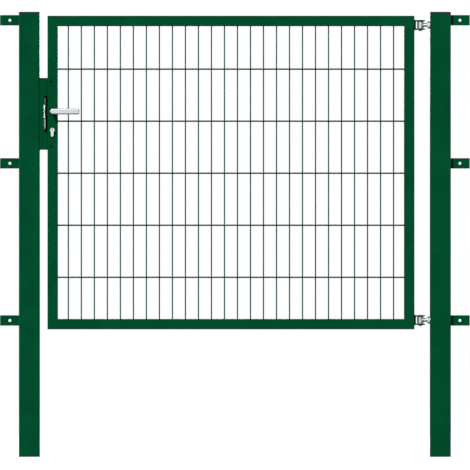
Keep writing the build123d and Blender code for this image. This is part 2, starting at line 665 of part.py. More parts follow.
# ---------------------------------------------------------------- keeper on the lock post
def keeper():
    """Folded channel welded to the post: front cover with a window, web, and a stop behind the leaf."""
    top = FOREND_BOTTOM + FOREND_HEIGHT
    stop_y = BACK + STOP_FROM_LEAF
    cover_x = LEAF_LEFT - KEEPER_TO_LEAF
    web = block(LOCK_POST_FACE, KEEPER_FACE_X, FRONT, stop_y + KEEPER_SHEET, FOREND_BOTTOM, top)
    cover = block(LOCK_POST_FACE, cover_x, FRONT, FRONT + KEEPER_SHEET, FOREND_BOTTOM, top)
    stop_x = LEAF_LEFT + STOP_OVERLAP
    stop = block(LOCK_POST_FACE, stop_x, stop_y, stop_y + KEEPER_SHEET, FOREND_BOTTOM, top)
    shape = web + cover + stop
    for low, high in (
        (LEVER_Z - RING_R - STOP_RELIEF, LEVER_Z + RING_R + STOP_RELIEF),
        (CYLINDER_Z + CYLINDER_HEAD_R - CYLINDER_HEIGHT - STOP_RELIEF, CYLINDER_Z + CYLINDER_HEAD_R + STOP_RELIEF),
    ):
        shape -= block(LEAF_LEFT + STOP_EDGE_OVERLAP, stop_x + 1, stop_y - 1, stop_y + KEEPER_SHEET + 1, low, high)
    window_x = STRIKE_X - STRIKE_SHEET - WINDOW_TO_STRIKE
    shape -= block(
        window_x,
        cover_x + 1,
        FRONT - 1,
        FRONT + KEEPER_SHEET + 1,
        STRIKE_BOTTOM - WINDOW_MARGIN,
        STRIKE_TOP + WINDOW_MARGIN,
    )
    lip_top = LEVER_Z + LIP_HEIGHT / 2
    box_bottom = DEADBOLT_BOTTOM - DUST_BOX_PLAY - DUST_BOX_SHEET
    lip_x = window_x - WINDOW_TO_LIP
    shape -= block(lip_x, cover_x + 1, FRONT - 1, FRONT + KEEPER_SHEET + 1, box_bottom, lip_top)
    for z in STRIKE_SCREW_ZS:
        shape -= rod_x(STRIKE_SCREW_R + SCREW_FIT, LOCK_POST_FACE - 1, KEEPER_FACE_X + 1, 0, z)
    return shape


def stop_buffer():
    """Rubber strips on the stop, above, between and below its two reliefs."""
    ring = RING_R + STOP_RELIEF
    top = FOREND_BOTTOM + FOREND_HEIGHT - BUFFER_END
    cylinder_top = CYLINDER_Z + CYLINDER_HEAD_R + STOP_RELIEF
    cylinder_bottom = cylinder_top - CYLINDER_HEIGHT - 2 * STOP_RELIEF
    spans = [
        (FOREND_BOTTOM + BUFFER_END, cylinder_bottom - 1),
        (cylinder_top + 1, LEVER_Z - ring - 1),
        (LEVER_Z + ring + 1, top),
    ]
    right = LEAF_LEFT + STOP_OVERLAP - 1
    y0 = BACK + BUFFER_PLAY
    y1 = BACK + STOP_FROM_LEAF
    return group(*[block(right - BUFFER_WIDTH, right, y0, y1, low, high) for low, high in spans])


def strike_plate():
    """Hat-shaped plate on the web with two bolt holes and a curved lead-in lip for the latch."""
    plate_left = STRIKE_X - STRIKE_SHEET
    front_y = FRONT + LIP_START
    back_y = BACK - 2
    foot_right = KEEPER_FACE_X + STRIKE_SHEET
    plate = block(plate_left, STRIKE_X, front_y, back_y, STRIKE_BOTTOM, STRIKE_TOP)
    low = STRIKE_BOTTOM - STRIKE_FOOT
    high = STRIKE_TOP + STRIKE_FOOT
    plate += block(KEEPER_FACE_X, STRIKE_X, front_y, back_y, STRIKE_BOTTOM, STRIKE_BOTTOM + STRIKE_SHEET)
    plate += block(KEEPER_FACE_X, STRIKE_X, front_y, back_y, STRIKE_TOP - STRIKE_SHEET, STRIKE_TOP)
    plate += block(KEEPER_FACE_X, foot_right, front_y, back_y, low, STRIKE_BOTTOM + STRIKE_SHEET)
    plate += block(KEEPER_FACE_X, foot_right, front_y, back_y, STRIKE_TOP - STRIKE_SHEET, high)
    lip_x = STRIKE_X - LIP_R
    turn = math.radians(LIP_TURN)
    reach = 2 * LIP_R
    sector = make_face(
        Polyline(
            (lip_x, front_y, LEVER_Z),
            (lip_x + reach, front_y, LEVER_Z),
            (lip_x + reach, front_y - reach * math.tan(turn / 2), LEVER_Z),
            (lip_x + reach * math.cos(turn), front_y - reach * math.sin(turn), LEVER_Z),
            close=True,
        )
    )
    wedge = extrude(sector, LIP_HEIGHT / 2, dir=(0, 0, 1), both=True)
    ring = rod_z(LIP_R, LEVER_Z - LIP_HEIGHT, LEVER_Z + LIP_HEIGHT, lip_x, front_y)
    ring -= rod_z(LIP_R - STRIKE_SHEET, LEVER_Z - LIP_HEIGHT, LEVER_Z + LIP_HEIGHT, lip_x, front_y)
    plate += ring & wedge
    thick = LATCH_THICKNESS / 2 + STRIKE_HOLE_PLAY
    tall = LATCH_HEIGHT / 2 + STRIKE_HOLE_PLAY
    plate -= block(plate_left - 1, STRIKE_X + 1, -thick, thick, LEVER_Z - tall, LEVER_Z + tall)
    play = DUST_BOX_PLAY
    plate -= block(plate_left - 1, STRIKE_X + 1, -thick, thick, DEADBOLT_BOTTOM - play, DEADBOLT_TOP + play)
    for z in STRIKE_SCREW_ZS:
        plate -= rod_x(STRIKE_SCREW_R + SCREW_FIT, KEEPER_FACE_X - 1, foot_right + 1, 0, z)
    return plate


def dust_box():
    """Pressed box behind the deadbolt's hole, spot welded to the strike plate."""
    right = STRIKE_X - STRIKE_SHEET
    left = right - DUST_BOX_DEPTH
    half = DUST_BOX_WIDTH / 2
    sheet = DUST_BOX_SHEET
    low = DEADBOLT_BOTTOM - DUST_BOX_PLAY
    high = DEADBOLT_TOP + DUST_BOX_PLAY
    box = block(left, right, -half, half, low - sheet, high + sheet)
    return box - block(left + sheet, right + 1, sheet - half, half - sheet, low, high)


def strike_screws():
    """Pan-head screws through the strike plate's feet, the web and the post's wall."""
    seat = KEEPER_FACE_X + STRIKE_SHEET
    screws = []
    for z in STRIKE_SCREW_ZS:
        head = rod_x(STRIKE_SCREW_HEAD_R, seat, seat + STRIKE_SCREW_HEAD_H, 0, z)
        head = fillet(head.edges().filter_by(GeomType.CIRCLE).sort_by(Axis.X)[-1], STRIKE_SCREW_HEAD_H * 0.6)
        screws.append(head + rod_x(STRIKE_SCREW_R, seat - STRIKE_SCREW_LENGTH, seat, 0, z))
    return group(*screws)


# ---------------------------------------------------------------- all pieces
def mirrored_in_leaf(shape):
    """The same piece on the back of the leaf."""
    return mirror(shape, about=Plane.XZ)


def all_pieces():
    """Every node by name."""
    pieces = {
        "lock_post": lock_post(),
        "hinge_post": hinge_post(),
        "lock_post_cap": post_cap(LOCK_POST_FACE, -1),
        "hinge_post_cap": post_cap(HINGE_POST_FACE, 1),
        "keeper": keeper(),
        "stop_buffer": stop_buffer(),
        "strike_plate": strike_plate(),
        "strike_dust_box": dust_box(),
        "strike_screws": strike_screws(),
        "lock_stile": lock_stile(),
        "hinge_stile": stile_at(LEAF_RIGHT, -1),
        "top_rail": rail_at(LEAF_TOP, -1),
        "bottom_rail": rail_at(LEAF_BOTTOM, 1),
        "mesh_wires": mesh_wires(),
        "lock_forend": forend(),
        "lock_case": lock_case(),
        "lock_case_cover": case_cover(),
        "lock_fixing_screws": fixing_screws(),
        "latch_bolt": latch_bolt(),
        "follower": follower(),
        "lever_return_spring": return_spring(),
        "deadbolt": deadbolt(),
        "cylinder_body": cylinder_body(),
        "cylinder_plugs": cylinder_plugs(),
        "cylinder_cam": cylinder_cam(),
        "cylinder_screw": cylinder_screw(),
        "lever_front": lever_front(),
        "lever_rear": mirrored_in_leaf(lever_front()),
        "lever_ring_front": lever_ring_front(),
        "lever_ring_rear": mirrored_in_leaf(lever_ring_front()),
        "spindle": spindle(),
        "lever_grub_screws": lever_grub_screws(),
    }
    for level, z in TAB_ZS.items():
        pieces[f"lock_post_tab_{level}"] = fence_tab(LOCK_POST_FACE - POST_SIDE, -1, z)
        pieces[f"hinge_post_tab_{level}"] = fence_tab(HINGE_POST_FACE + POST_SIDE, 1, z)
    for number in range(1, int((LEAF_HEIGHT - TUBE) / ROD_PITCH) + 1):
        pieces[f"mesh_rods_{number}"] = mesh_rod_pair(number)
    for place, z in HINGE_ZS.items():
        pieces[f"{place}_hinge_bracket"] = hinge_bracket(z)
        pieces[f"{place}_hinge_pin"] = hinge_pin(z)
        pieces[f"{place}_thrust_washers"] = thrust_washers(z)
        pieces[f"{place}_eye_bolt"] = eye_bolt(z)
        pieces[f"{place}_lock_nut"] = lock_nut(z)
        pieces[f"{place}_post_washer"] = post_washer(z)
        pieces[f"{place}_weld_nut"] = weld_nut(z)
    return pieces


os.makedirs("parts", exist_ok=True)
for node, shape in all_pieces().items():
    export_step(shape, f"parts/{node}.step")
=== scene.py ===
import json
import math

import bpy
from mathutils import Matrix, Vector

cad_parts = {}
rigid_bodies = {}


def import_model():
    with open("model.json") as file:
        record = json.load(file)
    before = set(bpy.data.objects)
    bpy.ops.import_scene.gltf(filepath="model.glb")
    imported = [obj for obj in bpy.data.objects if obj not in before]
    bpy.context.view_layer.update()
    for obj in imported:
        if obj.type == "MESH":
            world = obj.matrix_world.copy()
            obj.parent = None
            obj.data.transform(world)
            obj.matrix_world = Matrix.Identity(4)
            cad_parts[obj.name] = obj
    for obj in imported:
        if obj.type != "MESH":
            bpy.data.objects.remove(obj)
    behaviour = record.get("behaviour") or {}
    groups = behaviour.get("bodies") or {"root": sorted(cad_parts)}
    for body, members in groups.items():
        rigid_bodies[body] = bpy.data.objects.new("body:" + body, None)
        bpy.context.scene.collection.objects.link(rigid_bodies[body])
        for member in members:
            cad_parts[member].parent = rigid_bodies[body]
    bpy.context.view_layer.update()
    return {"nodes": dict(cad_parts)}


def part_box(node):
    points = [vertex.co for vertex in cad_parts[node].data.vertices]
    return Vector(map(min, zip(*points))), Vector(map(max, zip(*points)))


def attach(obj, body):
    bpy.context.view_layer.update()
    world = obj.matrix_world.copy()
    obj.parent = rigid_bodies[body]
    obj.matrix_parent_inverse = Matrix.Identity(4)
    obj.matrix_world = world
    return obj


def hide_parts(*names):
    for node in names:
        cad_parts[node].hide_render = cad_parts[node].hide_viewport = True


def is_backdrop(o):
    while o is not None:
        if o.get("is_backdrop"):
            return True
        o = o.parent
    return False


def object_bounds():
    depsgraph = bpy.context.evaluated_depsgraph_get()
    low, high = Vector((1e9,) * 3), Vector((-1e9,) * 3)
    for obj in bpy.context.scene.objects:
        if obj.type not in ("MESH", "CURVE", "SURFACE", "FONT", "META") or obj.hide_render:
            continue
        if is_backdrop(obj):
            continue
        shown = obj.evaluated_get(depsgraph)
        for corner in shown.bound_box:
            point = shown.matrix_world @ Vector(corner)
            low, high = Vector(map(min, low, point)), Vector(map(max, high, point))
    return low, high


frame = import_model()

# Sockets of a colour mix node. Its names stand for number, vector and colour alike, so they go by their places.
FACTOR, COLOUR_A, COLOUR_B, MIXED = 0, 6, 7, 2

# ---------------------------------------------------------------- posts
# Two square steel tubes, open at the foot, that stand in concrete. They are blasted, sprayed with polyester powder
# and baked, which leaves an even satin skin.


def linear(code):
    """Hex sRGB colour as linear red, green, blue and alpha."""
    parts = [int(code[i : i + 2], 16) / 255 for i in (0, 2, 4)]
    return (*[p / 12.92 if p <= 0.04045 else ((p + 0.055) / 1.055) ** 2.4 for p in parts], 1.0)


def add(tree, kind, inputs=None, **settings):
    """Adds a node with its settings, and fills or links its inputs."""
    node = tree.nodes.new(kind)
    for name, value in settings.items():
        setattr(node, name, value)
    for name, value in (inputs or {}).items():
        if isinstance(value, bpy.types.NodeSocket):
            tree.links.new(value, node.inputs[name])
        else:
            node.inputs[name].default_value = value
    return node


def new_material(name):
    """Empty node material."""
    material = bpy.data.materials.new(name)
    material.use_nodes = True
    material.node_tree.nodes.clear()
    return material


def coat(material, *nodes):
    """Gives CAD nodes a material."""
    for node in nodes:
        for place in frame["nodes"][node].material_slots:
            place.material = material


# Polyester powder coat, sprayed and baked on steel: deep moss green, satin. The powder melts into a skin with an
# orange peel of about 2 mm, cloudy by a few percent over a hand's width, with grains of 0.6 mm in its gloss. Its
# reflections are low and drawn towards green, so the colour stays deep where the light is flat on it.
powder_coat = new_material("powder coated steel, moss green")
tree = powder_coat.node_tree
where = add(tree, "ShaderNodeTexCoord").outputs["Object"]
cloud = add(tree, "ShaderNodeTexNoise", {"Vector": where, "Scale": 9.0, "Detail": 3.0})
cloud = add(tree, "ShaderNodeMapRange", {"Value": cloud.outputs[0], "From Min": 0.35, "From Max": 0.65})
grain = add(tree, "ShaderNodeTexNoise", {"Vector": where, "Scale": 1 / 0.0006, "Detail": 2.0})
tone = add(
    tree,
    "ShaderNodeMix",
    {FACTOR: cloud.outputs["Result"], COLOUR_A: linear("014628"), COLOUR_B: linear("014D2C")},
    data_type="RGBA",
)
gloss = add(tree, "ShaderNodeMapRange", {"Value": grain.outputs[0], "To Min": 0.31, "To Max": 0.45})
peel = add(tree, "ShaderNodeTexNoise", {"Vector": where, "Scale": 1 / 0.002, "Detail": 1.0})
skin = add(tree, "ShaderNodeBump", {"Strength": 0.18, "Distance": 0.0002, "Height": peel.outputs[0]})
skin = add(
    tree,
    "ShaderNodeBump",
    {"Strength": 0.10, "Distance": 0.0001, "Height": grain.outputs[0], "Normal": skin.outputs["Normal"]},
)
paint = add(
    tree,
    "ShaderNodeBsdfPrincipled",
    {
        "Base Color": tone.outputs[MIXED],
        "Roughness": gloss.outputs["Result"],
        "Normal": skin.outputs["Normal"],
        "IOR": 1.5,
        "Specular IOR Level": 0.15,
        "Specular Tint": linear("5AC8B4"),
    },
)
add(tree, "ShaderNodeOutputMaterial", {"Surface": paint.outputs[0]})
coat(powder_coat, "lock_post", "hinge_post")

# ---------------------------------------------------------------- post caps
# One push-in cap closes each tube. It is injection moulded from black polyethylene in a spark-eroded mould, which
# gives a fine dull grain, drawn here at 0.5 mm so that it shows.

cap_plastic = new_material("moulded polyethylene, black")
tree = cap_plastic.node_tree
where = add(tree, "ShaderNodeTexCoord").outputs["Object"]
pits = add(tree, "ShaderNodeTexVoronoi", {"Vector": where, "Scale": 1 / 0.0005})
flow = add(tree, "ShaderNodeTexNoise", {"Vector": where, "Scale": 40.0, "Detail": 2.0})
shade = add(
    tree,
    "ShaderNodeMix",
    {FACTOR: flow.outputs[0], COLOUR_A: linear("060A08"), COLOUR_B: linear("0F1612")},
    data_type="RGBA",
)
dull = add(tree, "ShaderNodeMapRange", {"Value": flow.outputs[0], "To Min": 0.48, "To Max": 0.62})
grain = add(tree, "ShaderNodeBump", {"Strength": 0.25, "Distance": 0.0001, "Height": pits.outputs["Distance"]})
plastic = add(
    tree,
    "ShaderNodeBsdfPrincipled",
    {
        "Base Color": shade.outputs[MIXED],
        "Roughness": dull.outputs["Result"],
        "Normal": grain.outputs["Normal"],
        "IOR": 1.51,
        "Specular IOR Level": 0.35,
    },
)
add(tree, "ShaderNodeOutputMaterial", {"Surface": plastic.outputs[0]})
coat(cap_plastic, "lock_post_cap", "hinge_post_cap")

# ---------------------------------------------------------------- fence tabs
# Six drilled flat bars take the ends of the fence panels. Each is welded to its post along its front and back
# before the post is coated, so the bead's ripples show through the powder.

tabs = [f"{post}_tab_{place}" for post in ("lock_post", "hinge_post") for place in ("top", "middle", "bottom")]
coat(powder_coat, *tabs)


def new_tree(name, start, sizes, end):
    """Node tree with a geometry input, named sizes and a geometry output."""
    tree = bpy.data.node_groups.new(name, "GeometryNodeTree")
    tree.interface.new_socket(name=start, in_out="INPUT", socket_type="NodeSocketGeometry")
    for size, (kind, value) in sizes.items():
        socket = tree.interface.new_socket(name=size, in_out="INPUT", socket_type=kind)
        socket.default_value = value
    tree.interface.new_socket(name=end, in_out="OUTPUT", socket_type="NodeSocketGeometry")
    return tree


def close_tree(tree, geometry, material):
    """Ends a tree with real, smooth geometry in one material."""
    smooth = add(tree, "GeometryNodeSetShadeSmooth", {0: geometry})
    real = add(tree, "GeometryNodeRealizeInstances", {0: smooth.outputs[0]})
    done = add(tree, "GeometryNodeSetMaterial", {0: real.outputs[0], "Material": material})
    add(tree, "NodeGroupOutput", {0: done.outputs[0]})


def grow(name, points, edges, tree, sizes, body, slot):
    """Runs a node tree on points and edges, and keeps the result as a plain mesh that rides on a body."""
    base = bpy.data.meshes.new(name + " base")
    base.from_pydata([tuple(p) for p in points], edges, [])
    source = bpy.data.objects.new(name + " source", base)
    bpy.context.scene.collection.objects.link(source)
    modifier = source.modifiers.new("grow", "NODES")
    modifier.node_group = tree
    for socket in tree.interface.items_tree:
        if socket.name in sizes:
            modifier[socket.identifier] = sizes[socket.name]
    bpy.context.view_layer.update()
    ready = source.evaluated_get(bpy.context.evaluated_depsgraph_get())
    piece = bpy.data.objects.new(name, bpy.data.meshes.new_from_object(ready))
    bpy.data.objects.remove(source)
    bpy.context.scene.collection.objects.link(piece)
    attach(piece, body)
    return piece


STEPS_PER_RIPPLE = 4.0
bead_tree = new_tree(
    "weld bead",
    "Seams",
    {
        "Bead radius": ("NodeSocketFloat", 0.0026),
        "Ripple spacing": ("NodeSocketFloat", 0.0022),
        "Ripple depth": ("NodeSocketFloat", 0.10),
        "Seed": ("NodeSocketInt", 3),
    },
    "Beads",
)
inlet = add(bead_tree, "NodeGroupInput").outputs
seams = add(bead_tree, "GeometryNodeMeshToCurve", {"Mesh": inlet["Seams"]})
step = add(bead_tree, "ShaderNodeMath", {0: inlet["Ripple spacing"], 1: STEPS_PER_RIPPLE}, operation="DIVIDE")
seams = add(
    bead_tree,
    "GeometryNodeResampleCurve",
    {"Curve": seams.outputs[0], "Length": step.outputs[0]},
    mode="LENGTH",
)
along = add(bead_tree, "GeometryNodeSplineParameter")
turns = add(
    bead_tree, "ShaderNodeMath", {0: along.outputs["Length"], 1: inlet["Ripple spacing"]}, operation="DIVIDE"
)
angle = add(bead_tree, "ShaderNodeMath", {0: turns.outputs[0], 1: 2 * math.pi}, operation="MULTIPLY")
wave = add(bead_tree, "ShaderNodeMath", {0: angle.outputs[0]}, operation="SINE")
ripple = add(
    bead_tree,
    "ShaderNodeMath",
    {0: wave.outputs[0], 1: inlet["Ripple depth"], 2: 1.0},
    operation="MULTIPLY_ADD",
)
hand = add(bead_tree, "ShaderNodeTexNoise", {"W": inlet["Seed"], "Scale": 150.0}, noise_dimensions="4D")
hand = add(bead_tree, "ShaderNodeMapRange", {"Value": hand.outputs[0], "To Min": 0.82, "To Max": 1.18})
swell = add(bead_tree, "ShaderNodeMath", {0: ripple.outputs[0], 1: hand.outputs["Result"]}, operation="MULTIPLY")
width = add(bead_tree, "ShaderNodeMath", {0: swell.outputs[0], 1: inlet["Bead radius"]}, operation="MULTIPLY")
section = add(bead_tree, "GeometryNodeCurvePrimitiveCircle", {"Resolution": 10, "Radius": 1.0})
beads = add(
    bead_tree,
    "GeometryNodeCurveToMesh",
    {
        "Curve": seams.outputs[0],
        "Profile Curve": section.outputs[0],
        "Scale": width.outputs[0],
        "Fill Caps": True,
    },
)
close_tree(bead_tree, beads.outputs[0], powder_coat)


def seam_lines(lines):
    """Points and edges of separate straight seams."""
    points = [Vector(p) for line in lines for p in line]
    return points, [(i, i + 1) for i in range(0, len(points), 2)]


TAB_SEAM_CLEAR = 0.001
tab_seams = []
for tab in tabs:
    low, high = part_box(tab)
    x = high.x if tab.startswith("lock") else low.x
    for y in (low.y, high.y):
        tab_seams.append([(x, y, low.z + TAB_SEAM_CLEAR), (x, y, high.z - TAB_SEAM_CLEAR)])
grow("fence_tab_welds", *seam_lines(tab_seams), bead_tree, {}, "posts", "green_powder_coat")

# ---------------------------------------------------------------- keeper
# A channel folded from 3 mm sheet on the lock post: a cover in front of the gap with a window for the strike, and
# a stop behind the leaf. Stitch welds hold its back edge, and short beads its ends. It is coated with the post.

STITCH = 0.030
STITCH_FROM_END = 0.012
MIDDLE_STITCH = 0.123
COVER_CLEAR = 0.008
BACK_CLEAR = 0.004
coat(powder_coat, "keeper")
low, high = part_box("keeper")
starts = (low.z + STITCH_FROM_END, low.z + MIDDLE_STITCH, high.z - STITCH_FROM_END - STITCH)
stitches = [[(low.x, high.y, z), (low.x, high.y, z + STITCH)] for z in starts]
ends = [[(low.x, low.y + COVER_CLEAR, z), (low.x, high.y - BACK_CLEAR, z)] for z in (low.z, high.z)]
grow(
    "keeper_welds",
    *seam_lines(stitches + ends),
    bead_tree,
    {"Bead radius": 0.0020, "Seed": 5},
    "posts",
    "green_powder_coat",
)

# Nitrile rubber, cut from extruded strip: dull near-black with a fine grain of 0.5 mm and traces of bloom.
rubber = new_material("extruded nitrile rubber")
tree = rubber.node_tree
where = add(tree, "ShaderNodeTexCoord").outputs["Object"]
bloom = add(tree, "ShaderNodeTexNoise", {"Vector": where, "Scale": 120.0, "Detail": 4.0})
fine = add(tree, "ShaderNodeTexNoise", {"Vector": where, "Scale": 1 / 0.0005})
shade = add(
    tree,
    "ShaderNodeMix",
    {FACTOR: bloom.outputs[0], COLOUR_A: linear("131314"), COLOUR_B: linear("262627")},
    data_type="RGBA",
)
grain = add(tree, "ShaderNodeBump", {"Strength": 0.3, "Distance": 0.0001, "Height": fine.outputs[0]})
strip = add(
    tree,
    "ShaderNodeBsdfPrincipled",
    {"Base Color": shade.outputs[MIXED], "Roughness": 0.82, "IOR": 1.52, "Normal": grain.outputs["Normal"]},
)
add(tree, "ShaderNodeOutputMaterial", {"Surface": strip.outputs[0]})
coat(rubber, "stop_buffer")

# ---------------------------------------------------------------- strike
# A hat-shaped plate of 3 mm stainless steel receives the bolts. It is linished along its length, so its gloss is
# drawn out in Z, with scratches 0.4 mm apart. Behind the deadbolt's hole sits a box pressed from galvanised sheet.

stainless = new_material("linished stainless steel")
tree = stainless.node_tree
where = add(tree, "ShaderNodeTexCoord").outputs["Object"]
drawn = add(tree, "ShaderNodeMapping", {"Vector": where, "Scale": (1 / 0.0004, 1 / 0.0004, 25.0)})
lines = add(tree, "ShaderNodeTexNoise", {"Vector": drawn.outputs[0], "Scale": 1.0, "Detail": 3.0})
sheen = add(tree, "ShaderNodeMapRange", {"Value": lines.outputs[0], "To Min": 0.34, "To Max": 0.56})
tint = add(
    tree,
    "ShaderNodeMix",
    {FACTOR: lines.outputs[0], COLOUR_A: linear("C4C6C6"), COLOUR_B: linear("E2E4E3")},
    data_type="RGBA",
)
scratch = add(tree, "ShaderNodeBump", {"Strength": 0.12, "Distance": 0.00005, "Height": lines.outputs[0]})
steel = add(
    tree,
    "ShaderNodeBsdfPrincipled",
    {
        "Base Color": tint.outputs[MIXED],
        "Metallic": 1.0,
        "Roughness": sheen.outputs["Result"],
        "Normal": scratch.outputs["Normal"],
    },
)
add(tree, "ShaderNodeOutputMaterial", {"Surface": steel.outputs[0]})
coat(stainless, "strike_plate", "lock_forend", "lever_return_spring")

# Hot-dip galvanised sheet: zinc froze on it in flat crystals of about 5 mm, each with its own grey and gloss.
galvanised = new_material("galvanised sheet steel")
tree = galvanised.node_tree
where = add(tree, "ShaderNodeTexCoord").outputs["Object"]
spangle = add(tree, "ShaderNodeTexVoronoi", {"Vector": where, "Scale": 1 / 0.005})
crystal = add(tree, "ShaderNodeSeparateColor", {"Color": spangle.outputs["Color"]})
tint = add(
    tree,
    "ShaderNodeMix",
    {FACTOR: crystal.outputs[0], COLOUR_A: linear("8A9190"), COLOUR_B: linear("B4BAB8")},
    data_type="RGBA",
)
sheen = add(tree, "ShaderNodeMapRange", {"Value": crystal.outputs[1], "To Min": 0.34, "To Max": 0.56})
zinc = add(
    tree,
    "ShaderNodeBsdfPrincipled",
    {"Base Color": tint.outputs[MIXED], "Metallic": 1.0, "Roughness": sheen.outputs["Result"]},
)
add(tree, "ShaderNodeOutputMaterial", {"Surface": zinc.outputs[0]})
coat(galvanised, "strike_dust_box", "lock_case", "lock_case_cover")

# Electroplated zinc with a clear passivate on turned and pressed steel: bright and slightly blue, with a faint
# haze in patches of 3 mm and the tool's marks 0.3 mm apart.
zinc_plate = new_material("zinc plated steel")
tree = zinc_plate.node_tree
where = add(tree, "ShaderNodeTexCoord").outputs["Object"]
haze = add(tree, "ShaderNodeTexNoise", {"Vector": where, "Scale": 1 / 0.003, "Detail": 3.0})
tool = add(tree, "ShaderNodeTexNoise", {"Vector": where, "Scale": 1 / 0.0003, "Detail": 1.0})
tint = add(
    tree,
    "ShaderNodeMix",
    {FACTOR: haze.outputs[0], COLOUR_A: linear("CDD2D6"), COLOUR_B: linear("E8EAEA")},
    data_type="RGBA",
)
sheen = add(tree, "ShaderNodeMapRange", {"Value": haze.outputs[0], "To Min": 0.24, "To Max": 0.42})
marks = add(tree, "ShaderNodeBump", {"Strength": 0.10, "Distance": 0.00005, "Height": tool.outputs[0]})
bright = add(
    tree,
    "ShaderNodeBsdfPrincipled",
    {
        "Base Color": tint.outputs[MIXED],
        "Metallic": 1.0,
        "Roughness": sheen.outputs["Result"],
        "Normal": marks.outputs["Normal"],
    },
)
add(tree, "ShaderNodeOutputMaterial", {"Surface": bright.outputs[0]})
coat(zinc_plate, "strike_screws")

# ---------------------------------------------------------------- leaf frame
# Four mitred square tubes, welded round each corner. The beads are ground back on the faces to a low ridge before
# the leaf is coated.

coat(powder_coat, "lock_stile", "hinge_stile", "top_rail", "bottom_rail")
low = Vector([min(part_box(n)[0][i] for n in ("lock_stile", "top_rail", "bottom_rail")) for i in range(3)])
high = Vector([max(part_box(n)[1][i] for n in ("hinge_stile", "top_rail", "bottom_rail")) for i in range(3)])
tube = high.y - low.y
TUBE_CORNER = 0.003
SUNK = 0.0009
CORNER = TUBE_CORNER - SUNK
loop = []
for across, depth, turn in ((1, 1, 0), (0, 1, 90), (0, 0, 180), (1, 0, 270)):
    u = SUNK + CORNER if not across else tube - SUNK - CORNER
    v = SUNK + CORNER if not depth else tube - SUNK - CORNER
    for part in (0, 30, 60, 90):
        a = math.radians(turn + part)
        loop.append((u + CORNER * math.cos(a), v + CORNER * math.sin(a) - tube / 2))
points, edges = [], []
for x, inward in ((low.x, 1), (high.x, -1)):
    for z, upward in ((low.z, 1), (high.z, -1)):
        first = len(points)
        points += [(x + inward * u, y, z + upward * u) for u, y in loop]
        edges += [(first + i, first + (i + 1) % len(loop)) for i in range(len(loop))]
grow(
    "frame_corner_welds",
    points,
    edges,
    bead_tree,
    {"Bead radius": 0.0012, "Ripple spacing": 0.0030, "Ripple depth": 0.03, "Seed": 11},
    "leaf",
    "green_powder_coat",
)

# ---------------------------------------------------------------- mesh
# Drawn wires of 5 mm upright, with a 6 mm rod before and behind them in each row. Every crossing is resistance
# welded, which squeezes out a flat nugget of metal, and the ends are welded to the frame. It is coated as one.

rods = [f"mesh_rods_{row}" for row in range(1, 6)]
coat(powder_coat, "mesh_wires", *rods)
nugget_tree = new_tree(
    "weld nuggets",
    "Points",
    {"Half size": ("NodeSocketVector", (0.0037, 0.0014, 0.0037)), "Seed": ("NodeSocketInt", 21)},
    "Nuggets",
)
inlet = add(nugget_tree, "NodeGroupInput").outputs
ball = add(nugget_tree, "GeometryNodeMeshUVSphere", {"Segments": 8, "Rings": 6, "Radius": 1.0})
uneven = add(
    nugget_tree,
    "FunctionNodeRandomValue",
    {0: (0.85, 0.9, 0.85), 1: (1.12, 1.1, 1.12), "Seed": inlet["Seed"]},
    data_type="FLOAT_VECTOR",
)
size = {0: uneven.outputs[0], 1: inlet["Half size"]}
size = add(nugget_tree, "ShaderNodeVectorMath", size, operation="MULTIPLY")
nuggets = add(
    nugget_tree,
    "GeometryNodeInstanceOnPoints",
    {"Points": inlet["Points"], "Instance": ball.outputs[0], "Scale": size.outputs[0]},
)
close_tree(nugget_tree, nuggets.outputs[0], powder_coat)

WIRE_PITCH = 0.050
ROD_RADIUS = 0.003
low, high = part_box("mesh_wires")
wire = high.y - low.y
first, last = low.x + wire / 2, high.x - wire / 2
wire_xs = [first + i * WIRE_PITCH for i in range(round((last - first) / WIRE_PITCH) + 1)]
row_boxes = [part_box(row) for row in rods]
row_zs = [(a.z + b.z) / 2 for a, b in row_boxes]
crossings = [(x, y, z) for x in wire_xs for z in row_zs for y in (-wire / 2, wire / 2)]
grow("mesh_crossing_welds", crossings, [], nugget_tree, {}, "leaf", "green_powder_coat")
wire_ends = [(x, 0, z) for x in wire_xs for z in (low.z, high.z)]
grow(
    "mesh_wire_end_welds",
    wire_ends,
    [],
    nugget_tree,
    {"Half size": (0.0036, 0.0036, 0.0018), "Seed": 22},
    "leaf",
    "green_powder_coat",
)
rod_ends = []
for a, b in row_boxes:
    for y in (a.y + ROD_RADIUS, b.y - ROD_RADIUS):
        rod_ends += [(a.x, y, (a.z + b.z) / 2), (b.x, y, (a.z + b.z) / 2)]
grow(
    "mesh_rod_end_welds",
    rod_ends,
    [],
    nugget_tree,
    {"Half size": (0.0018, 0.0040, 0.0040), "Seed": 23},
    "leaf",
    "green_powder_coat",
)

# ---------------------------------------------------------------- hinges
# A U bracket welded to the leaf holds a pin with a domed head, peened over on top. Round the pin turns a barrel
# with a welded M16 stud, which screws through the post and is locked by a thin nut on a washer. Nylon washers keep
# the barrel off the bracket. All the loose steel parts are zinc plated.

PLATE_CLEAR = 0.002
PLATE_ROUND = 0.003
hinges = ("upper", "lower")
coat(powder_coat, *[f"{h}_hinge_bracket" for h in hinges])
coat(zinc_plate, *[f"{h}_{part}" for h in hinges for part in ("hinge_pin", "lock_nut", "post_washer", "weld_nut")])
bracket_seams = []
for h in hinges:
    low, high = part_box(f"{h}_hinge_bracket")
    for y in (low.y, high.y):
        bracket_seams.append([(low.x, y, low.z + PLATE_CLEAR), (low.x, y, high.z - PLATE_CLEAR)])
    for z in (low.z, high.z):
        bracket_seams.append([(low.x, low.y + PLATE_ROUND, z), (low.x, high.y - PLATE_ROUND, z)])
grow(
    "hinge_bracket_welds",
    *seam_lines(bracket_seams),
    bead_tree,
    {"Bead radius": 0.0022, "Seed": 31},
    "leaf",
    "green_powder_coat",
)


SHARP_FROM = 38


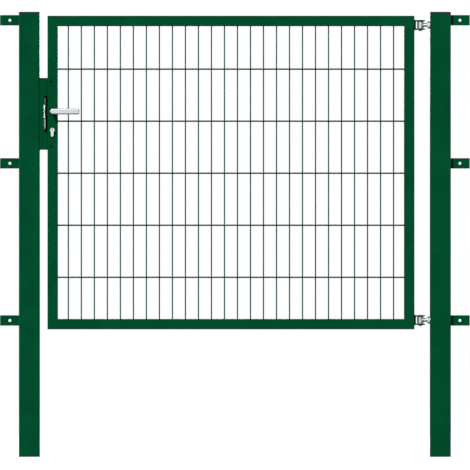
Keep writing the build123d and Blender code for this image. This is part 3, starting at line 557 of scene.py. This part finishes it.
def joined(name, parts, material, body, replaced):
    """One piece from (points, faces) parts in one material, which stands for a CAD node."""
    points, faces = [], []
    for new_points, new_faces in parts:
        faces += [[len(points) + i for i in face] for face in new_faces]
        points += new_points
    mesh = bpy.data.meshes.new(name)
    mesh.from_pydata(points, [], faces)
    mesh.materials.append(material)
    mesh.validate()
    piece = bpy.data.objects.new(name, mesh)
    bpy.context.scene.collection.objects.link(piece)
    mesh.shade_smooth()
    mesh.set_sharp_from_angle(angle=math.radians(SHARP_FROM))
    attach(piece, body)
    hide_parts(replaced)
    return piece


def rings_to_faces(rings, around, closed):
    """Quads between rings of points; closed means that the last ring meets the first."""
    count = rings if closed else rings - 1
    faces = []
    for r in range(count):
        s = (r + 1) % rings
        for i in range(around):
            j = (i + 1) % around
            faces.append((r * around + i, r * around + j, s * around + j, s * around + i))
    return faces


BARREL_ROUND = 64
BARREL_BORE = 0.00505
BARREL_CHAMFER = 0.0008
STUD_ROUND = 48
STUD_START = 0.0075
STUD_END_RADIUS = 0.0068
THREAD_PITCH = 0.002
THREAD_CREST = 0.00798
THREAD_ROOT = 0.0069
FLANK_SLOPE = 1.5
ROOT_FLAT = 0.2
STEPS_PER_THREAD = 8
WELD_RING = 0.0083
WELD_HALF_WIDTH = 0.0014
WELD_SUNK = 0.0003
WELD_STEPS = 48
WELD_ROUND = 10
WELD_RIPPLES = 12
WELD_RIPPLE_DEPTH = 0.10


def barrel(x, z, radius, half):
    """Bored barrel on a vertical axis with small chamfers."""
    edge = BARREL_CHAMFER
    outline = [(BARREL_BORE, -half), (radius - edge, -half), (radius, edge - half)]
    outline += [(radius, half - edge), (radius - edge, half), (BARREL_BORE, half)]
    points = []
    for r, h in outline:
        for i in range(BARREL_ROUND):
            a = 2 * math.pi * i / BARREL_ROUND
            points.append((x + r * math.cos(a), r * math.sin(a), z + h))
    return points, rings_to_faces(len(outline), BARREL_ROUND, True)


def thread_radius(turn):
    """Radius of the stud where the thread has made so many turns: flat crest, sloping flanks, flat root."""
    rise = 1 - abs(2 * (turn % 1.0) - 1)
    rise = min(max(rise * FLANK_SLOPE - ROOT_FLAT, 0.0), 1.0)
    return THREAD_ROOT + (THREAD_CREST - THREAD_ROOT) * rise


def stud(x0, x1, z):
    """Threaded stud along X, chamfered at its end."""
    rings = int((x1 - x0) / THREAD_PITCH * STEPS_PER_THREAD) + 1
    points = []
    for k in range(rings):
        x = x0 + (x1 - x0) * k / (rings - 1)
        for i in range(STUD_ROUND):
            turn = (x - x0) / THREAD_PITCH + i / STUD_ROUND
            r = min(thread_radius(turn), STUD_END_RADIUS + (x1 - x))
            a = 2 * math.pi * i / STUD_ROUND
            points.append((x, r * math.cos(a), z + r * math.sin(a)))
    faces = rings_to_faces(rings, STUD_ROUND, False)
    faces.append(tuple(reversed(range(STUD_ROUND))))
    faces.append(tuple(range((rings - 1) * STUD_ROUND, rings * STUD_ROUND)))
    return points, faces


def stud_weld(x, z, radius):
    """Fillet bead where the stud meets the barrel's round side."""
    points = []
    for k in range(WELD_STEPS):
        a = 2 * math.pi * k / WELD_STEPS
        y, up = WELD_RING * math.cos(a), WELD_RING * math.sin(a)
        centre = Vector((x + math.sqrt(radius**2 - y**2) - WELD_SUNK, y, z + up))
        outward = Vector((0, math.cos(a), math.sin(a)))
        size = WELD_HALF_WIDTH * (1 + WELD_RIPPLE_DEPTH * math.sin(WELD_RIPPLES * a))
        for i in range(WELD_ROUND):
            b = 2 * math.pi * i / WELD_ROUND
            points.append(tuple(centre + size * (math.cos(b) * outward + math.sin(b) * Vector((1, 0, 0)))))
    return points, rings_to_faces(WELD_STEPS, WELD_ROUND, True)


for h in hinges:
    low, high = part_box(f"{h}_eye_bolt")
    pin_low, pin_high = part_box(f"{h}_hinge_pin")
    x = (pin_low.x + pin_high.x) / 2
    z = (low.z + high.z) / 2
    radius = x - low.x
    half = (high.z - low.z) / 2
    joined(
        f"{h}_eye_bolt_threaded",
        [barrel(x, z, radius, half), stud(x + STUD_START, high.x, z), stud_weld(x, z, radius)],
        zinc_plate,
        "posts",
        f"{h}_eye_bolt",
    )

# Natural nylon 6, punched from sheet: milky cream, slightly waxy, light passes a little way into it.
nylon = new_material("natural nylon")
tree = nylon.node_tree
where = add(tree, "ShaderNodeTexCoord").outputs["Object"]
clouds = add(tree, "ShaderNodeTexNoise", {"Vector": where, "Scale": 1 / 0.004, "Detail": 2.0})
milk = add(
    tree,
    "ShaderNodeMix",
    {FACTOR: clouds.outputs[0], COLOUR_A: linear("DDD8C6"), COLOUR_B: linear("EDE9DA")},
    data_type="RGBA",
)
wax = add(
    tree,
    "ShaderNodeBsdfPrincipled",
    {
        "Base Color": milk.outputs[MIXED],
        "Roughness": 0.42,
        "IOR": 1.53,
        "Subsurface Weight": 0.15,
        "Subsurface Scale": 0.001,
    },
)
add(tree, "ShaderNodeOutputMaterial", {"Surface": wax.outputs[0]})
coat(nylon, *[f"{h}_thrust_washers" for h in hinges])

# ---------------------------------------------------------------- lock
# A narrow lock slides into a slot in the stile's edge, held by two button screws from the front. Its stainless
# edge plate carries the bevelled latch and the deadbolt; the case behind it is folded from galvanised sheet.

coat(zinc_plate, "deadbolt", "follower", "spindle", "cylinder_screw")

# Chemically blackened steel of the latch, the button screws and the grub screws: almost black, oily sheen, patchy
# at 1 mm.
blackened = new_material("blackened steel")
tree = blackened.node_tree
where = add(tree, "ShaderNodeTexCoord").outputs["Object"]
patch = add(tree, "ShaderNodeTexNoise", {"Vector": where, "Scale": 1 / 0.001, "Detail": 3.0})
shade = add(
    tree,
    "ShaderNodeMix",
    {FACTOR: patch.outputs[0], COLOUR_A: linear("0E0F10"), COLOUR_B: linear("2A2B2D")},
    data_type="RGBA",
)
sheen = add(tree, "ShaderNodeMapRange", {"Value": patch.outputs[0], "To Min": 0.30, "To Max": 0.50})
oiled = add(
    tree,
    "ShaderNodeBsdfPrincipled",
    {"Base Color": shade.outputs[MIXED], "Metallic": 1.0, "Roughness": sheen.outputs["Result"]},
)
add(tree, "ShaderNodeOutputMaterial", {"Surface": oiled.outputs[0]})
coat(blackened, "latch_bolt", "lock_fixing_screws", "lever_grub_screws")

# ---------------------------------------------------------------- lock cylinder
# A profile cylinder of brass. Its body and the two plugs are turned or milled, then nickel plated; the cam between
# them stays bare. Both keyways are painted near black and dull within, as painted shade for the deep slots.

# Satin nickel plate: pale silver, nearly mirror smooth, with a faint cloud and cutter marks 0.2 mm apart.
nickel = new_material("nickel plated brass")
tree = nickel.node_tree
where = add(tree, "ShaderNodeTexCoord").outputs["Object"]
faint = add(tree, "ShaderNodeTexNoise", {"Vector": where, "Scale": 1 / 0.002, "Detail": 3.0})
fine = add(tree, "ShaderNodeTexNoise", {"Vector": where, "Scale": 1 / 0.0002, "Detail": 1.0})
tint = add(
    tree,
    "ShaderNodeMix",
    {FACTOR: faint.outputs[0], COLOUR_A: linear("C6CCC8"), COLOUR_B: linear("DDE3DF")},
    data_type="RGBA",
)
sheen = add(tree, "ShaderNodeMapRange", {"Value": faint.outputs[0], "To Min": 0.16, "To Max": 0.32})
marks = add(tree, "ShaderNodeBump", {"Strength": 0.08, "Distance": 0.00005, "Height": fine.outputs[0]})

# The painted keyway shade starts just behind the plugs' faces and stays within the keyway's width and height.
KEYWAY_HALF = 0.0016
ABOVE_KEYWAY = 0.0008
PLUG_FACE = 0.0004
KEYWAY_SHADE_ROUGHNESS = 0.75
low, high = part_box("cylinder_plugs")
middle = (low + high) / 2
place = add(tree, "ShaderNodeSeparateXYZ", {0: where})
in_width = add(tree, "ShaderNodeMath", {0: place.outputs["X"], 1: middle.x, 2: KEYWAY_HALF}, operation="COMPARE")
tall = high.z - middle.z - ABOVE_KEYWAY
in_height = add(tree, "ShaderNodeMath", {0: place.outputs["Z"], 1: middle.z, 2: tall}, operation="COMPARE")
deep = high.y - middle.y - PLUG_FACE
behind = add(tree, "ShaderNodeMath", {0: place.outputs["Y"], 1: middle.y, 2: deep}, operation="COMPARE")
painted_keyway_shade = add(tree, "ShaderNodeMath", {0: in_width.outputs[0], 1: in_height.outputs[0]}, operation="MULTIPLY")
painted_keyway_shade = add(tree, "ShaderNodeMath", {0: painted_keyway_shade.outputs[0], 1: behind.outputs[0]}, operation="MULTIPLY")
# Painted shade: a near-black, non-metallic colour within the keyways stands in for the shade of the deep slots.
tone = add(
    tree,
    "ShaderNodeMix",
    {FACTOR: painted_keyway_shade.outputs[0], COLOUR_A: tint.outputs[MIXED], COLOUR_B: linear("141415")},
    data_type="RGBA",
)
bare = add(tree, "ShaderNodeMath", {0: 1.0, 1: painted_keyway_shade.outputs[0]}, operation="SUBTRACT")
rough = add(tree, "ShaderNodeMix", {0: painted_keyway_shade.outputs[0], 2: sheen.outputs["Result"], 3: KEYWAY_SHADE_ROUGHNESS})
plate = add(
    tree,
    "ShaderNodeBsdfPrincipled",
    {
        "Base Color": tone.outputs[MIXED],
        "Metallic": bare.outputs[0],
        "Roughness": rough.outputs[0],
        "Normal": marks.outputs["Normal"],
    },
)
add(tree, "ShaderNodeOutputMaterial", {"Surface": plate.outputs[0]})
coat(nickel, "cylinder_body", "cylinder_plugs")

# Turned brass, left bare: pale yellow, bright, a little tarnished in patches of 1.5 mm.
brass = new_material("turned brass")
tree = brass.node_tree
where = add(tree, "ShaderNodeTexCoord").outputs["Object"]
tarnish = add(tree, "ShaderNodeTexNoise", {"Vector": where, "Scale": 1 / 0.0015, "Detail": 3.0})
tint = add(
    tree,
    "ShaderNodeMix",
    {FACTOR: tarnish.outputs[0], COLOUR_A: linear("CDB98A"), COLOUR_B: linear("E4D6AE")},
    data_type="RGBA",
)
sheen = add(tree, "ShaderNodeMapRange", {"Value": tarnish.outputs[0], "To Min": 0.20, "To Max": 0.38})
turned = add(
    tree,
    "ShaderNodeBsdfPrincipled",
    {"Base Color": tint.outputs[MIXED], "Metallic": 1.0, "Roughness": sheen.outputs["Result"]},
)
add(tree, "ShaderNodeOutputMaterial", {"Surface": turned.outputs[0]})
coat(brass, "cylinder_cam")

# ---------------------------------------------------------------- levers
# Two cast aluminium handles on a square spindle, brushed along the grip and anodised. Their necks turn in guide
# rings of black plastic in the stile.

# Brushed and anodised aluminium: a bright, cool satin with fine lines 0.3 mm apart that run along the grip.
anodised = new_material("brushed anodised aluminium")
tree = anodised.node_tree
where = add(tree, "ShaderNodeTexCoord").outputs["Object"]
drawn = add(tree, "ShaderNodeMapping", {"Vector": where, "Scale": (40.0, 1 / 0.0003, 1 / 0.0003)})
lines = add(tree, "ShaderNodeTexNoise", {"Vector": drawn.outputs[0], "Scale": 1.0, "Detail": 2.0})
tint = add(
    tree,
    "ShaderNodeMix",
    {FACTOR: lines.outputs[0], COLOUR_A: linear("BDC3CA"), COLOUR_B: linear("D9DEE4")},
    data_type="RGBA",
)
sheen = add(tree, "ShaderNodeMapRange", {"Value": lines.outputs[0], "To Min": 0.38, "To Max": 0.54})
brushed = add(tree, "ShaderNodeBump", {"Strength": 0.10, "Distance": 0.00005, "Height": lines.outputs[0]})
satin = add(
    tree,
    "ShaderNodeBsdfPrincipled",
    {
        "Base Color": tint.outputs[MIXED],
        "Metallic": 1.0,
        "Roughness": sheen.outputs["Result"],
        "Normal": brushed.outputs["Normal"],
    },
)
add(tree, "ShaderNodeOutputMaterial", {"Surface": satin.outputs[0]})
coat(anodised, "lever_front", "lever_rear")
coat(cap_plastic, "lever_ring_front", "lever_ring_rear")

# ---------------------------------------------------------------- floor
# A plain pale floor, bright enough to run into the white behind it, that still takes a faint shadow.

FLOOR_HALF = 14.0
GLOW_SHARE = 0.72
floor_paper = new_material("white studio floor")
tree = floor_paper.node_tree
where = add(tree, "ShaderNodeTexCoord").outputs["Object"]
fibre = add(tree, "ShaderNodeTexNoise", {"Vector": where, "Scale": 3.0, "Detail": 2.0})
pale = add(
    tree,
    "ShaderNodeMix",
    {FACTOR: fibre.outputs[0], COLOUR_A: linear("F6F6F5"), COLOUR_B: linear("FAFAFA")},
    data_type="RGBA",
)
paper = add(tree, "ShaderNodeBsdfDiffuse", {"Color": pale.outputs[MIXED]})
glow = add(tree, "ShaderNodeEmission", {"Color": linear("FFFFFF"), "Strength": 1.15})
mixed = add(tree, "ShaderNodeMixShader", {0: GLOW_SHARE, 1: paper.outputs[0], 2: glow.outputs[0]})
add(tree, "ShaderNodeOutputMaterial", {"Surface": mixed.outputs[0]})
mesh = bpy.data.meshes.new("studio_floor")
corners = [(x * FLOOR_HALF, y * FLOOR_HALF, 0) for x, y in ((-1, -1), (1, -1), (1, 1), (-1, 1))]
mesh.from_pydata(corners, [], [(0, 1, 2, 3)])
mesh.materials.append(floor_paper)
floor = bpy.data.objects.new("studio_floor", mesh)
bpy.context.scene.collection.objects.link(floor)
floor.visible_diffuse = False
floor.visible_glossy = False
floor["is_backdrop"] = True

# ---------------------------------------------------------------- light
# A soft-edged key from the upper left in front and an even pale room that fills the shadows. Soft boxes behind and
# at both sides light what faces away from the key. The bare metals mirror their lamps, so they have three wide
# boxes of their own: in front, behind, and on the right for the strike.

SUNBEAM = (0.42, 1.0, -0.75)
key_data = bpy.data.lights.new("key", "SUN")
key_data.energy = 3.0
key_data.angle = math.radians(2.5)
key = bpy.data.objects.new("key", key_data)
key.rotation_euler = Vector(SUNBEAM).to_track_quat("-Z", "Y").to_euler()
bpy.context.scene.collection.objects.link(key)


def soft_box(name, place, target, width, height, power):
    """Rectangular lamp that faces a point."""
    data = bpy.data.lights.new(name, "AREA")
    data.shape = "RECTANGLE"
    data.size, data.size_y = width, height
    data.energy = power
    lamp = bpy.data.objects.new(name, data)
    lamp.location = place
    lamp.rotation_euler = (Vector(target) - Vector(place)).to_track_quat("-Z", "Y").to_euler()
    lamp.visible_camera = False
    bpy.context.scene.collection.objects.link(lamp)
    return lamp


back_box = soft_box("back_box", (1.0, 4.5, 2.6), (0, 0, 0.9), 4.0, 2.5, 200.0)
for side in (-1, 1):
    soft_box(f"side_box_{side}", (side * 6.0, 1.6, 1.6), (0, 0.4, 0.9), 2.0, 2.6, 150.0)
rear_box = soft_box("rear_box", (0.8, 9.0, 1.7), (0, 0, 1.35), 13.0, 2.6, 120.0)
front_box = soft_box("front_box", (-0.8, -9.0, 1.7), (0, 0, 1.35), 13.0, 2.6, 120.0)
right_box = soft_box("right_box", (5.0, -3.2, 1.8), (-0.7, 0, 1.3), 4.0, 5.0, 340.0)


def link_light(lamp, pieces, state):
    """Makes a lamp light only these pieces (INCLUDE), or all but these (EXCLUDE)."""
    group = bpy.data.collections.new(lamp.name + " pieces")
    for piece in pieces:
        group.objects.link(piece)
    for member in group.collection_objects:
        member.light_linking.link_state = state
    lamp.light_linking.receiver_collection = group


strike = [frame["nodes"][name] for name in ("strike_plate", "strike_dust_box", "strike_screws")]
shiny = {zinc_plate.name, nickel.name, brass.name, anodised.name}
others = [piece for piece in bpy.context.scene.collection.all_objects if piece not in strike]
loose_metal = []
for piece in others:
    if any(place.material and place.material.name in shiny for place in piece.material_slots):
        loose_metal.append(piece)
link_light(front_box, loose_metal, "INCLUDE")
link_light(rear_box, loose_metal, "INCLUDE")
link_light(right_box, strike, "INCLUDE")
link_light(back_box, loose_metal, "EXCLUDE")

world = bpy.data.worlds.new("pale room")
bpy.context.scene.world = world
world.use_nodes = True
world.node_tree.nodes.clear()
seen = add(world.node_tree, "ShaderNodeLightPath")
room = add(world.node_tree, "ShaderNodeBackground", {"Color": linear("FFFFFF"), "Strength": 0.28})
white = add(world.node_tree, "ShaderNodeBackground", {"Color": linear("FFFFFF"), "Strength": 1.0})
both = add(
    world.node_tree,
    "ShaderNodeMixShader",
    {0: seen.outputs["Is Camera Ray"], 1: room.outputs[0], 2: white.outputs[0]},
)
add(world.node_tree, "ShaderNodeOutputWorld", {"Surface": both.outputs[0]})
bpy.context.scene.view_settings.view_transform = "Standard"

# ---------------------------------------------------------------- camera
# Straight in front at mid height through a long lens, so that the gate shows almost without perspective.

VIEW_WIDTH = 1.8057
VIEW_MIDDLE = (0.0005, 0.8525)
LENS = 1000.0
SENSOR = 36.0
camera_data = bpy.data.cameras.new("camera")
camera_data.lens = LENS
camera_data.sensor_width = SENSOR
camera_data.clip_end = 200.0
camera = bpy.data.objects.new("camera", camera_data)
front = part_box("lock_post")[0].y
distance = VIEW_WIDTH * LENS / SENSOR
camera.location = (VIEW_MIDDLE[0], front - distance, VIEW_MIDDLE[1])
camera.rotation_euler = (math.radians(90), 0, 0)
bpy.context.scene.collection.objects.link(camera)
bpy.context.scene.camera = camera

low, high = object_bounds()
